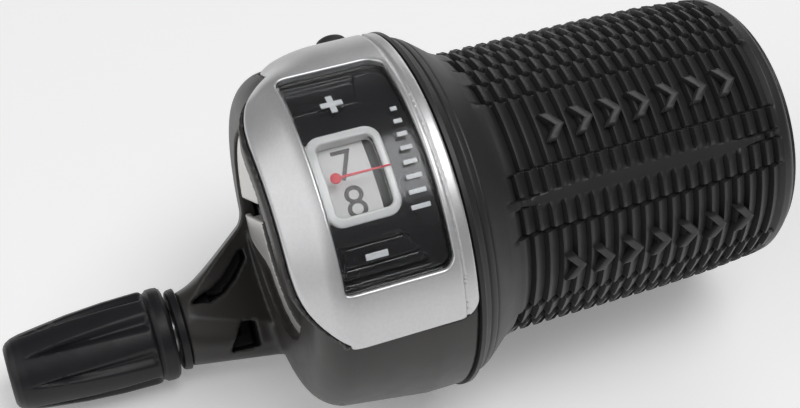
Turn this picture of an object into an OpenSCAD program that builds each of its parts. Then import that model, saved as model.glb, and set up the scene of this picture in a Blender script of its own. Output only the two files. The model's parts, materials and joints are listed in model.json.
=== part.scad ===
// Twist shifter for a bicycle handlebar: a fixed housing with a gear display, a ribbed twist grip
// that winds the shift cable, and a barrel adjuster on a side arm.
// Millimetres. +X runs outboard along the handlebar, +Y forward and +Z up. The origin is on the
// handlebar's axis at the inboard mouth of the bar bore.

/* [Handlebar fit] */
// Radius of the bore around the handlebar
bar_bore_r = 11.15; // [11.12:0.01:11.18]
// Outer radius of the fixed sleeve that the grip turns on
sleeve_r = 13.0; // [12.9:0.05:13.2]
// Outboard end of the sleeve
sleeve_end = 66.3; // [66.1:0.1:67]

/* [Housing] */
// Outer radius of the housing beside the grip
housing_r = 23.5; // [23.3:0.1:23.8]
// Outer radius of the housing near its inboard edge
housing_edge_r = 22.1; // [22.1:0.1:22.6]
// Wall thickness of the housing's shell
housing_wall = 1.8; // [1.6:0.1:1.9]
// Inboard face of the housing
housing_in = -1.4; // [-1.6:0.1:-1.2]
// Parting plane between the housing and the grip
parting = 17.6; // [17.5:0.1:17.7]
// Rounding of the housing's inboard edge
housing_round = 4.0; // [3.6:0.1:4]

/* [Cover and display] */
// Tilt of the display from straight up, towards the rider
window_tilt = 30; // [15:1:45]
// Outer radius of the metal-look cover
cover_r = 24.0; // [24:0.1:24.3]
// Thickness of the cover
cover_wall = 1.2; // [1.1:0.1:1.3]
// Inboard tip of the cover's sloping flank
cover_in = -4.0; // [-4.5:0.1:-3.5]
// Where the cover's flank starts to slope
cover_crease = 1.3; // [1.2:0.1:1.4]
// Inboard edge of the display opening
display_in = 1.7; // [1.7:0.05:1.8]
// Outboard edge of the display opening
display_out = 15.1; // [14.6:0.1:15.4]
// Width of the number window along the bar
window_w = 6.8; // [6:0.1:7.2]
// Half angle of the number window around the bar
window_half = 11.5; // [10:0.5:12]

/* [Shifting] */
// Grip angle between two gears, in degrees
click = 12.5; // [12:0.1:12.5]
// Clicks from the shown gear to the top gear
clicks_up = 1; // [1:1:1]
// Clicks from the shown gear to the first gear
clicks_down = 6; // [5:1:6]
// Radius at which the cable winds on the spool
wind_r = 17.2; // [17:0.1:17.4]

/* [Grip] */
// Radius of the grip's flange beside the housing
flange_r = 23.8; // [23.7:0.1:24]
// Radius over the ribs near the flange
grip_r = 19.2; // [18.8:0.1:19.5]
// Radius over the ribs at the outboard end
grip_end_r = 18.4; // [18:0.1:18.6]
// Outboard end of the rubber
grip_end = 64.9; // [64:0.1:64.9]
// Distance between two ribs
rib_pitch = 1.9; // [1.7:0.05:2.2]
// Depth of the grooves between ribs
rib_depth = 0.7; // [0.4:0.05:0.9]

/* [Barrel adjuster] */
// Inboard end of the cable arm
arm_end = -13.2; // [-13.6:0.1:-13]
// Largest radius of the adjuster knob
knob_r = 6.5; // [6.2:0.1:6.8]
// Length of the adjuster knob
knob_length = 22.0; // [21:0.1:22.4]
// Number of flutes around the knob
knob_flutes = 8; // [6:1:10]
// Radius of the socket that takes the cable casing's end
casing_socket_r = 2.6; // [2.55:0.01:2.7]

/* [Hidden] */
$fn = 72;
eps = 0.01;
gap = 0.05; // running clearance on a radius
shell_r = housing_r - housing_wall;
taper_end = 13; // where the housing reaches its full radius
mouth_r = 15.6; // the opening around the clamp band
seat_round = 2.6; // rounding of the housing under the cover
seat_r = cover_r - cover_wall;
cover_from = -50.5;
cover_to = 63.5;
display_from = -33;
display_to = 38.7;
flank_tip_r = 19.8;
flank_arc_r = 35;
flank_slope = (cover_r - flank_tip_r) / (cover_crease - cover_in);
flank_skin = cover_wall * sqrt(1 + flank_slope * flank_slope);
window_mid = 6.4;
window_in = window_mid - window_w / 2;
window_out = window_mid + window_w / 2;
frame_top_r = 22.95;
lens_r = 23.2;
pointer_x = 4.1;
band_r = 14.0;
band_rim = -1.1;
band_end = 8;
split_angle = 140.5;
screw_x = 4.2;
screw_off = 16.4;
spool_x = 13.75;
drum_r = 21.2;
drum_from = -30;
drum_to = 93;
detent_angle = -90;
detent_r = 18.6;
arm_angle = -14.5;
barrel_y = -7.7;
barrel_z = -17.5;
barrel_off = sqrt(barrel_y * barrel_y + barrel_z * barrel_z);
bend_r = sqrt(barrel_off * barrel_off - wind_r * wind_r);
cable_angle = arm_angle + atan2(barrel_y, barrel_z) - acos(wind_r / barrel_off);
guide_r = 1.25;
guide_bore_r = 0.9;
insert_in = -9;
ring_face = arm_end - 1.2;
knob_out = ring_face - 0.5;
knob_tip = knob_out - knob_length;
seat_depth = 0.2; // how deep the casing's seat lies in the knob's tip
screw_r = 3.0;
flute_lean = 4;

// Turns local +Z outward at an angle around the bar, counted from the display's centre line
// towards the top; local +Y then points the way the angle grows.
module spoke(angle) rotate([window_tilt - angle, 0, 0]) children();

// Stands a profile drawn as (radius, x) on the bar's axis.
module along_bar() rotate([0, 90, 0]) children();

// A ring around the bar, from one x to another.
module ring(inner, outer, x0, x1) {
    along_bar() rotate_extrude() translate([inner, x0]) square([outer - inner, x1 - x0]);
}

// A profile drawn as (radius, x), swept around the bar between two angles.
module sweep(from, to) {
    spoke(0) along_bar() rotate([0, 0, 180 - to]) rotate_extrude(angle = to - from) children();
}

// Part of a ring around the bar, between two angles.
module sector(inner, outer, x0, x1, from, to) {
    sweep(from, to) translate([inner, x0]) square([outer - inner, x1 - x0]);
}

// The arm's own frame: +X along the bar, +Z towards the rider's eye.
module arm_frame() spoke(arm_angle) children();

// The barrel adjuster's axis, with profiles drawn as (radius, x).
module on_barrel() arm_frame() translate([0, barrel_y, barrel_z]) along_bar() children();

// A cylinder or tube on the barrel adjuster's axis.
module barrel_tube(inner, outer, x0, x1) {
    on_barrel() rotate_extrude() translate([inner, x0]) square([outer - inner, x1 - x0]);
}

// The clamp screw's frame: +Z outward at the band's split, the screw along Y.
module clamp_frame() spoke(split_angle) translate([screw_x, 0, screw_off]) children();

// A tube along the cable's way from the spool to the barrel: a quarter bend, then straight.
module cable_way(inner, outer, bend_from, x_end) {
    spoke(cable_angle) translate([spool_x - bend_r, 0, wind_r]) {
        rotate([0, 0, bend_from]) rotate_extrude(angle = 90 - bend_from)
            translate([bend_r, 0]) difference() {
                circle(outer);
                if (inner > 0) circle(inner);
            }
        translate([0, bend_r, 0]) rotate([0, -90, 0])
            linear_extrude(spool_x - bend_r - x_end) difference() {
                circle(outer);
                if (inner > 0) circle(inner);
            }
    }
}

// Everything the cover takes up outside its inner face, with room to spare outside.
module cover_room() {
    sweep(cover_from, cover_to) polygon([
        [seat_r, parting + 1],
        [seat_r, cover_crease + (flank_skin - cover_wall) / flank_slope],
        [cover_r - flank_skin - flank_slope * (cover_crease + 6), -6],
        [30, -6],
        [30, parting + 1]]);
}

// The housing's outline, drawn as (radius, x): a cone with a rounded inboard edge.
module housing_outline(inner, edge_r, edge_round) {
    centre = [edge_r - edge_round, housing_in + edge_round];
    translate(centre) intersection() {
        circle(edge_round);
        translate([0, -edge_round]) square(edge_round);
    }
    polygon([
        [inner, housing_in],
        [centre[0], housing_in],
        [edge_r, centre[1]],
        [housing_r, taper_end],
        [housing_r, parting],
        [inner, parting]]);
}

// The housing's cavity, drawn as (radius, x): it closes in around the number drum.
module cavity_outline() {
    polygon([
        [0, housing_in + housing_wall],
        [drum_r - 1.2, housing_in + housing_wall],
        [drum_r + 0.2, 1.8],
        [drum_r + 0.25, 5],
        [shell_r, 8],
        [shell_r, parting + 1],
        [0, parting + 1]]);
}

module arm_solid() {
    arm_frame() hull() {
        translate([arm_end, barrel_y, barrel_z]) along_bar() cylinder(r = 5.3, h = 2, $fn = 32);
        for (corner = [[2.2, -20.4], [2.2, -15], [-12, -15], [-12, -17]])
            translate([housing_in - 0.4, corner[0], corner[1]])
                along_bar() cylinder(r = 2.5, h = 1.4, $fn = 32);
    }
}

// Two moulded recesses in the arm's rider-side face.
module arm_recesses() {
    arm_frame() translate([0, 0, -15.2]) linear_extrude(6) {
        polygon([[-11.6, -4], [-7.6, -2.6], [-2.8, 0.8], [-2.4, -0.6], [-5.8, -3.6], [-9.4, -5.2]]);
        polygon([[-5.6, -8.9], [-4, -9.2], [-4, -12.4], [-7.8, -12.3]]);
    }
}

module main_body() {
    color([0.22, 0.21, 0.21]) difference() {
        union() {
            difference() {
                union() {
                    along_bar() rotate_extrude()
                        housing_outline(mouth_r, housing_edge_r, housing_round);
                    // full size under the cover, whose seat is cut into it
                    sweep(cover_from, cover_to) housing_outline(17, housing_r, seat_round);
                }
                along_bar() rotate_extrude() cavity_outline();
                cover_room();
                sector(shell_r - 1, cover_r, display_in, display_out, display_from, display_to);
            }
            // cup around the clamp band, closed by a web that carries the sleeve
            difference() {
                ring(14.4, 15.9, -0.1, band_end + 1);
                clamp_frame() translate([-4, -9, -6]) cube([band_end + 0.2 - screw_x + 4, 18, 10]);
            }
            ring(bar_bore_r, 14.6, band_end + 0.2, band_end + 1);
            ring(bar_bore_r, sleeve_r, band_end + 0.2, sleeve_end);
            // end stops that the number drum's carrier meets
            for (side = [-1, 1]) spoke(side * 108.5) translate([9.8, -0.8, 19]) cube([1, 1.6, 3]);
            // the arm ends at the housing's inboard face and keeps clear of the bar's mouth
            difference() {
                arm_solid();
                ring(0, 40, housing_in + 0.6, 5);
                ring(0, mouth_r, housing_in - eps, 5);
                along_bar() translate([0, 0, arm_end - 1])
                    cylinder(r1 = mouth_r - 2.3, r2 = mouth_r, h = housing_in - arm_end + 1);
            }
        }
        arm_recesses();
        cable_way(0, guide_r, 50, insert_in - 0.5);
        barrel_tube(0, 3.3, insert_in - 1, -5.5);
        barrel_tube(0, 4.2, arm_end - 1, insert_in);
        // key access to the clamp screw
        clamp_frame() rotate([-90, 0, 0]) cylinder(r = 2.2, h = 25);
        // cable port
        spoke(80) translate([13.8, 0, shell_r - 2]) cylinder(r = 1.6, h = 5);
        // groove for the end ring
        ring(12.5, 15, grip_end + 0.25, grip_end + 1.05);
        for (a = [-42, 51]) spoke(a) translate([14, 0, 19]) cylinder(r = 0.8, h = 6);
    }
}

module top_cover() {
    color([0.78, 0.78, 0.78]) difference() {
        sweep(cover_from, cover_to) polygon([
            [cover_r, parting],
            [cover_r, cover_crease],
            [flank_tip_r, cover_in],
            [cover_r - flank_skin - flank_slope * (cover_crease - cover_in), cover_in],
            [seat_r, cover_crease + (flank_skin - cover_wall) / flank_slope],
            [seat_r, parting]]);
        sector(18, 30, display_in, display_out, display_from, display_to);
        // the flank's inboard edge is an arc, widest at the middle of the display
        spoke(6.5) difference() {
            translate([-10, -30, 0]) cube([cover_crease + 10.2, 60, 30]);
            translate([cover_in + flank_arc_r - 0.4, 0, -1]) cylinder(r = flank_arc_r, h = 40);
        }
        ring(cover_r - 0.25, cover_r + 1, parting - 1.75, parting - 1.45);
        for (a = [-42, 51]) spoke(a) translate([14, 0, 21]) cylinder(r = 0.8, h = 2.3);
    }
}

module display_plate() {
    color([0.05, 0.05, 0.05]) difference() {
        sector(shell_r + 0.2, 22.5, display_in, display_out, display_from, display_to);
        sector(20, 24, window_in, window_out, -window_half, window_half);
    }
}

module window_frame() {
    color([0.9, 0.9, 0.88]) difference() {
        sector(22.5, frame_top_r, window_in - 1.2, window_out + 1.2, -window_half - 3, window_half + 3);
        sector(20, 24, window_in, window_out, -window_half, window_half);
    }
}

// A dot with a line across the window, on the underside of the lens.
module pointer() {
    color([0.8, 0.1, 0.1]) intersection() {
        sector(frame_top_r + 0.02, lens_r, 2, 12, -5, 5);
        spoke(0) {
            translate([pointer_x, -0.17, 20]) cube([6.7, 0.34, 5]);
            translate([pointer_x, 0, 20]) cylinder(r = 0.65, h = 5);
        }
    }
}

module lens() {
    color([0.8, 0.85, 0.85, 0.3])
        sector(lens_r, cover_r - 0.1, display_in, display_out, display_from, display_to);
}

module clamp_band() {
    color([0.7, 0.7, 0.7]) difference() {
        union() {
            along_bar() rotate_extrude() polygon([
                [bar_bore_r, 0],
                [11.8, 0],
                [15, band_rim],
                [15.5, band_rim],
                [15.5, -0.2],
                [band_r, -0.2],
                [band_r, band_end],
                [bar_bore_r, band_end]]);
            // two ears that the clamp screw draws together
            clamp_frame() for (side = [-1, 1])
                translate([-3.2, side == 1 ? 1.3 : -4.9, -4]) cube([6.4, 3.6, 7]);
        }
        spoke(split_angle) translate([-5, -1.3, 5]) cube([band_end + 10, 2.6, 20]);
        clamp_frame() rotate([90, 0, 0]) cylinder(r = 2.05, h = 20, center = true);
        ring(0, bar_bore_r, -5, band_end + 5);
    }
}

module clamp_screw() {
    color([0.35, 0.35, 0.36]) clamp_frame() rotate([-90, 0, 0]) difference() {
        union() {
            translate([0, 0, -8]) cylinder(r = 2, h = 13);
            translate([0, 0, 4.9]) cylinder(r = 3.2, h = 3);
        }
        translate([0, 0, 6.3]) cylinder(r = 1.7, h = 3, $fn = 6);
    }
}

module clamp_nut() {
    color([0.6, 0.6, 0.6]) clamp_frame() difference() {
        translate([-2.8, -7.5, -2.8]) cube([5.6, 2.6, 5.6]);
        rotate([90, 0, 0]) cylinder(r = 2, h = 12);
    }
}

module cable_port_plug() {
    color([0.12, 0.12, 0.12]) spoke(80) translate([13.8, 0, 0]) {
        translate([0, 0, shell_r - 0.2]) cylinder(r = 1.55, h = 2.2);
        translate([0, 0, housing_r + 0.02]) cylinder(r = 2.1, h = 0.9);
        translate([0, 0, housing_r + 0.9]) cylinder(r1 = 2.1, r2 = 1.2, h = 0.6);
    }
}

module cover_screws() {
    color([0.5, 0.5, 0.5]) for (a = [-42, 51]) spoke(a) translate([14, 0, 0]) {
        translate([0, 0, 20.7]) cylinder(r = 1.6, h = 0.9);
        translate([0, 0, 21.5]) cylinder(r = 0.8, h = 1.75);
    }
}

module spool_cover() {
    color([0.2, 0.2, 0.2]) ring(15.4, shell_r, parting - 1.1, parting - 0.2);
}

module thrust_washer() {
    color([0.85, 0.83, 0.75]) ring(15.2, 17.8, parting - 1.5, parting - 1.15);
}

// A leaf spring between two feet on the shell, with a rounded nose in the spool's notch.
module detent_spring() {
    color([0.6, 0.6, 0.62]) {
        sector(20.9, 21.3, 14.9, 15.7, detent_angle - 20, detent_angle + 20);
        for (a = [-20, 16]) sector(21.2, shell_r, 14.9, 15.7, detent_angle + a, detent_angle + a + 4);
        spoke(detent_angle) {
            translate([14.9, 0, detent_r]) along_bar() cylinder(r = 0.8, h = 0.8);
            translate([14.9, -0.5, detent_r]) cube([0.8, 1, 21 - detent_r]);
        }
    }
}

module cable_guide() {
    color([0.9, 0.9, 0.85]) cable_way(guide_bore_r, guide_r, 50, insert_in + 3.6);
}

// Threaded insert that the adjuster screws into, with a collar on the arm's end.
module arm_ring() {
    color([0.1, 0.1, 0.1]) {
        barrel_tube(screw_r + gap, 4.2, arm_end - 0.2, insert_in);
        barrel_tube(screw_r + gap, 5.6, ring_face, arm_end);
    }
}

// The points of a ring of wire around a point of the coil.
function coil_ring(turn, r, wire, x, sides) = [for (k = [0 : sides - 1])
    let (a = 360 * k / sides, q = r + wire * cos(a))
    [x + wire * sin(a), q * cos(turn), q * sin(turn)]];

module adjuster_spring() {
    turns = 4;
    steps = 20;
    sides = 6;
    wire = 0.35;
    start = ring_face - wire - 0.05;
    pitch = 0.95;
    count = turns * steps;
    rings = [for (i = [0 : count])
        each coil_ring(360 * i / steps, 3.95, wire, start - pitch * i / steps, sides)];
    sides_faces = [for (i = [0 : count - 1], k = [0 : sides - 1])
        [i * sides + k, (i + 1) * sides + k, (i + 1) * sides + (k + 1) % sides,
         i * sides + (k + 1) % sides]];
    ends = [[for (k = [0 : sides - 1]) k], [for (k = [sides - 1 : -1 : 0]) count * sides + k]];
    color([0.7, 0.7, 0.72]) arm_frame() translate([0, barrel_y, barrel_z])
        polyhedron(points = rings, faces = concat(sides_faces, ends));
}

module end_ring() {
    color([0.1, 0.1, 0.1]) along_bar() rotate_extrude() polygon([
        [12.5, grip_end + 0.3],
        [17.1, grip_end + 0.3],
        [17.1, grip_end + 0.7],
        [16.7, grip_end + 1],
        [12.5, grip_end + 1]]);
}

module grip_core() {
    color([0.16, 0.16, 0.16]) {
        ring(sleeve_r + gap, 15, 9.2, parting + 0.3);
        ring(sleeve_r + gap, 16.4, parting + 0.25, grip_end);
        ring(16, 22.6, parting + 0.25, parting + 1.2);
        // drive lugs that key the number drum and the spool
        for (a = [0, 120, 240]) spoke(a) translate([9.6, -1, 14.5]) cube([6, 2, 1]);
    }
}

module grip_rubber() {
    rib_from = parting + 9;
    taper_from = 49;
    lip = grip_end - 1.9;
    ribs = floor((lip - rib_from) / rib_pitch);
    taper = (grip_r - grip_end_r) / (lip - taper_from);
    color([0.11, 0.11, 0.11]) along_bar() rotate_extrude() difference() {
        polygon([
            [16.4, parting + 1.2],
            [22.6, parting + 1.2],
            [22.6, parting + 0.25],
            [flange_r, parting + 0.25],
            [flange_r, parting + 0.8],
            [flange_r - 0.85, parting + 1.8],
            [flange_r - 1.3, parting + 3],
            [flange_r - 2.1, parting + 4.1],
            [flange_r - 3.9, parting + 6.4],
            [grip_r - 0.1, parting + 8.2],
            [grip_r, rib_from],
            [grip_r, taper_from],
            [grip_end_r, lip],
            [grip_end_r - 0.6, grip_end - 0.2],
            [grip_end_r - 1.2, grip_end],
            [16.4, grip_end]]);
        for (i = [0 : ribs - 1]) {
            x = rib_from + i * rib_pitch;
            top = grip_r - max(0, x - taper_from) * taper;
            translate([top - rib_depth, x]) square([2, rib_pitch * 0.4]);
        }
    }
}

module number_drum() {
    color([0.9, 0.9, 0.88]) difference() {
        union() {
            sector(drum_r - 1, drum_r, 2, 10.8, drum_from, drum_to);
            sector(16, drum_r, 9.8, 10.8, drum_from, drum_to);
            ring(15, 16.6, 9.8, 10.8);
        }
        for (a = [0, 120, 240]) spoke(a) translate([9, -1.05, 14]) cube([4, 2.1, 1.55]);
    }
}

module cable_spool() {
    color([0.85, 0.85, 0.8]) difference() {
        ring(15, detent_r - 0.4, 11.9, 15.7);
        ring(wind_r - 0.6, 20, spool_x - 0.75, spool_x + 0.75);
        for (a = [0, 120, 240]) spoke(a) translate([9, -1.05, 14]) cube([8, 2.1, 1.55]);
        // one notch for each gear
        for (k = [-clicks_up : clicks_down]) spoke(detent_angle + k * click)
            translate([14.8, 0, detent_r]) along_bar() cylinder(r = 0.9, h = 2);
        // pocket for the cable's head
        spoke(-60) translate([spool_x, 0, wind_r - 1.3]) cylinder(r = 1.6, h = 5, center = false);
    }
}

module click_washer() {
    color([0.75, 0.75, 0.78]) barrel_tube(screw_r + gap, 4.75, ring_face - 5.1, ring_face - 4.6);
}

module barrel_knob() {
    color([0.1, 0.1, 0.11]) difference() {
        on_barrel() rotate_extrude() polygon([
            [0, knob_out],
            [knob_r - 0.3, knob_out],
            [knob_r, knob_out - 0.4],
            [knob_r, knob_out - 1.9],
            [knob_r - 0.5, knob_out - 2.4],
            [knob_r - 0.15, knob_out - 3],
            [knob_r - 0.6, knob_out - 11],
            [knob_r - 1.2, knob_out - 18],
            [knob_r - 1.6, knob_tip + 1.2],
            [knob_r - 2.5, knob_tip],
            [0, knob_tip]]);
        barrel_tube(0, 4.9, ring_face - 5.2, knob_out + 1);
        barrel_tube(0, screw_r, ring_face - 15, ring_face - 5);
        barrel_tube(0, 3.3, knob_tip - 1, ring_face - 14.9);
        for (i = [0 : knob_flutes - 1]) on_barrel() rotate([0, 0, 360 * i / knob_flutes])
            translate([knob_r - 0.7, 0, knob_tip + 2.5]) rotate([0, flute_lean, 0])
                cylinder(r = 1.1, h = knob_length - 6);
    }
}

module barrel_screw() {
    color([0.6, 0.6, 0.62]) barrel_tube(guide_r + 0.4, screw_r, ring_face - 14.9, -6.4);
}

// Metal liner in the knob's tip: the cable casing's end sits in it.
module casing_seat() {
    color([0.65, 0.65, 0.66]) difference() {
        barrel_tube(0, 3.3, knob_tip + seat_depth, ring_face - 14.95);
        barrel_tube(0, casing_socket_r, knob_tip - 1, ring_face - 15.7);
        barrel_tube(0, guide_bore_r, knob_tip, ring_face - 10);
    }
}

main_body();
top_cover();
display_plate();
window_frame();
pointer();
lens();
clamp_band();
clamp_screw();
clamp_nut();
cable_port_plug();
cover_screws();
spool_cover();
thrust_washer();
detent_spring();
cable_guide();
arm_ring();
adjuster_spring();
end_ring();
grip_core();
grip_rubber();
number_drum();
cable_spool();
click_washer();
barrel_knob();
barrel_screw();
casing_seat();
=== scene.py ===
"""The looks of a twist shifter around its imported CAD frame: housing, display, grip and barrel adjuster.

Shapes are worked out in millimetres and written to meshes in metres. x runs along the handlebar; around
it, angles are counted in degrees from the middle of the display, growing towards the top."""

import json
import math

import bmesh
import bpy
import numpy as np
from mathutils import Matrix, Vector


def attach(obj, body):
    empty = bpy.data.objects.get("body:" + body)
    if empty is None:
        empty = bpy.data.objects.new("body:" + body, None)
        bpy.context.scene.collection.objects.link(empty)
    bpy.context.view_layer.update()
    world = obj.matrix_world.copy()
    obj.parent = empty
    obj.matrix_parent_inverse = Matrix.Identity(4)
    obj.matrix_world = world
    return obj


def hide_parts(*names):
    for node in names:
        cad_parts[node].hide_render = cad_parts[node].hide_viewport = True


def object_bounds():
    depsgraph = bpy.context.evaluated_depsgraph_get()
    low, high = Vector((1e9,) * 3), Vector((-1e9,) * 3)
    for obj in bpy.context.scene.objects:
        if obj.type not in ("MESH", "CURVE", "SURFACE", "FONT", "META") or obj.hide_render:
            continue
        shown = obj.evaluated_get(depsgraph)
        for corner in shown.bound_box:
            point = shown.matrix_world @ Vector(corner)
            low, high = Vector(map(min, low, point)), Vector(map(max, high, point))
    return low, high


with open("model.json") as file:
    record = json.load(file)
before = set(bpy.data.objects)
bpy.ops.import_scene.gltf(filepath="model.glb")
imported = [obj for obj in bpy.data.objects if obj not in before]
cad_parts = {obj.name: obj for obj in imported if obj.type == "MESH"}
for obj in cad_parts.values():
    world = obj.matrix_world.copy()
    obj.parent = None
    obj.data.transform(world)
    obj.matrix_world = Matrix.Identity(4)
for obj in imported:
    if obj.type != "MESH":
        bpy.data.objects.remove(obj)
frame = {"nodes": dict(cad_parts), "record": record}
cad_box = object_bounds()

MM = 0.001
TILT = math.radians(30)  # the display's tilt towards the rider
FACE = (-math.sin(TILT), math.cos(TILT))  # the display's normal, as (y, z)
UP = (math.cos(TILT), math.sin(TILT))
ARM = math.radians(44.5)  # the turn of the arm's own axes
ARM_OUT = (-math.sin(ARM), math.cos(ARM))
ARM_UP = (math.cos(ARM), math.sin(ARM))

# lengths in millimetres, angles in degrees; "R" is a radius around the bar
BORE_R = 11.15
SLEEVE_R, SLEEVE_END = 13.0, 66.3
PARTING = 17.6  # between housing and grip
HOUSING_IN = -1.4  # the housing's inboard face
HOUSING_R = 23.5
HOUSING_EDGE_R = 22.1  # at the inboard edge's rounding
EDGE_ROUND = 4.0
TAPER_END = 13.0
CAVITY = [(0.4, 20.0), (1.8, 21.4), (5.0, 21.45), (8.0, 21.7)]  # x and radius of the hollow
MOUTH_R = 15.65
RIM = 0.55  # width of the housing's rim beyond the cover's flank
COVER_R = 24.0
COVER_WALL = 1.2
COVER_FROM, COVER_TO = -50.5, 63.5
CREASE = 1.3  # where the cover's flank begins
TOP_CREASE = 3.3  # how far the crease moves outboard towards the cover's top
FLANK_SLOPE = 4.2 / 5.3
BARREL_UP, BARREL_OUT = -7.7, -17.5  # the barrel's axis, in the arm's axes
ARM_END = -13.2
DISPLAY_X, DISPLAY_HALF_X = 8.4, 6.7  # the display's middle and half width along the bar
DISPLAY_FROM, DISPLAY_TO = -33.0, 38.7
DISPLAY_MIDDLE = (DISPLAY_FROM + DISPLAY_TO) / 2
CLAMP_ANGLE = 140.5  # where the clamp's ears and screw sit
SCREW_X, SCREW_OUT = 4.2, 16.4
PORT_ANGLE, PORT_X = 80, 13.8
WINDOW_X = 6.4  # middle of the number window
WINDOW_SIZE = (3.5, 4.6, 0.9)  # half width, half length round the bar, and corner radius
DRUM_R = 21.2
DRUM_IN, DRUM_OUT = 2.0, 10.8
DRUM_FROM, DRUM_TO = -30, 93
PAINTED_SHADE_FROM = 9.0  # the drum is painted dark beyond this: painted shade in the gap by the window's wall
GEARS, REST_GEAR = 8, 7
CLICK = 12.5  # from one gear to the next
DIGIT_X, DIGIT_ANGLE, DIGIT_SIZE = 6.0, 4.6, 5.6  # the rest gear's digit on the drum
TICK_ANGLE, TICK_STEP = 17.0, 4.4  # the first tick, and the angle from one to the next
TICK_OUT, TICK_HALF = 14.0, 0.28
TICK_SHORTEST, TICK_GROWTH = 0.8, 0.22
GRIP_END = 64.9
GRIP_CORE_R = 16.45  # the rubber's inside
KNOB_OUT, KNOB_TIP = ARM_END - 1.7, -36.9
FLUTES, FLUTE_DEPTH = 8, 0.75


# ---------------------------------------------------------------- fields

def around(y, z):
    """Radius and angle (degrees) around the bar, and the coordinates along UP and FACE."""
    up = y * UP[0] + z * UP[1]
    face = y * FACE[0] + z * FACE[1]
    return np.hypot(y, z), np.degrees(np.arctan2(up, face)), up, face


def turned(up, face, angle):
    """Coordinates across and along the direction that points out from the bar at an angle."""
    a = math.radians(angle)
    return up * math.cos(a) - face * math.sin(a), up * math.sin(a) + face * math.cos(a)


def arm_axes(y, z):
    """Coordinates in the arm's frame."""
    return y * ARM_UP[0] + z * ARM_UP[1], y * ARM_OUT[0] + z * ARM_OUT[1]


def join(a, b, k):
    """Smooth union over a length k."""
    h = np.clip(0.5 + 0.5 * (b - a) / k, 0, 1)
    return b * (1 - h) + a * h - k * h * (1 - h)


def both(a, b, r=0.0):
    """Intersection whose outer edge is rounded to radius r (a number or an array)."""
    if np.isscalar(r) and r <= 0:
        return np.maximum(a, b)
    return np.minimum(np.maximum(a, b), -r) + np.hypot(np.maximum(a + r, 0), np.maximum(b + r, 0))


def cut(a, b, r=0.0):
    """a without b, with the edge between them rounded to radius r."""
    return both(a, -b, r)


def slab(v, lo, hi):
    """Distance to the slab between two values."""
    return np.maximum(lo - v, v - hi)


def round_rect(u, v, half_u, half_v, r):
    """Distance to a rounded rectangle; r may differ from corner to corner (an array)."""
    du, dv = np.abs(u) - half_u + r, np.abs(v) - half_v + r
    return np.minimum(np.maximum(du, dv), 0) + np.hypot(np.maximum(du, 0), np.maximum(dv, 0)) - r


def polygon(u, v, points):
    """Signed distance to a simple polygon."""
    best = np.full(u.shape, 1e9)
    inside = np.zeros(u.shape, bool)
    for (ax, ay), (bx, by) in zip(points, points[1:] + points[:1]):
        ex, ey = bx - ax, by - ay
        t = np.clip(((u - ax) * ex + (v - ay) * ey) / (ex * ex + ey * ey), 0, 1)
        best = np.minimum(best, np.hypot(u - ax - t * ex, v - ay - t * ey))
        crosses = (ay > v) != (by > v)
        slope = (bx - ax) / (by - ay) if by != ay else 0.0
        inside ^= crosses & (u < ax + (v - ay) * slope)
    return np.where(inside, -best, best)


def smooth(t):
    """A smooth step from 0 to 1."""
    t = np.clip(t, 0, 1)
    return t * t * (3 - 2 * t)


def along_profile(x, profile):
    """Radius at x, between the points of a profile of (x, radius) in rising order of x."""
    return np.interp(x, *zip(*profile))


def wedge(up, face, start, stop):
    """Distance to the wedge between two angles around the bar (under 180 degrees)."""
    a, b = math.radians(start), math.radians(stop)
    return np.maximum(face * math.sin(a) - up * math.cos(a), up * math.cos(b) - face * math.sin(b))


# ---------------------------------------------------------------- meshing

BLOCK = 6  # cells along a block's side; blocks far from the surface are skipped
CHUNK = 400  # blocks whose field is worked out at a time
KEY_SIDE = 4096  # more than the number of nodes along any axis


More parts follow.
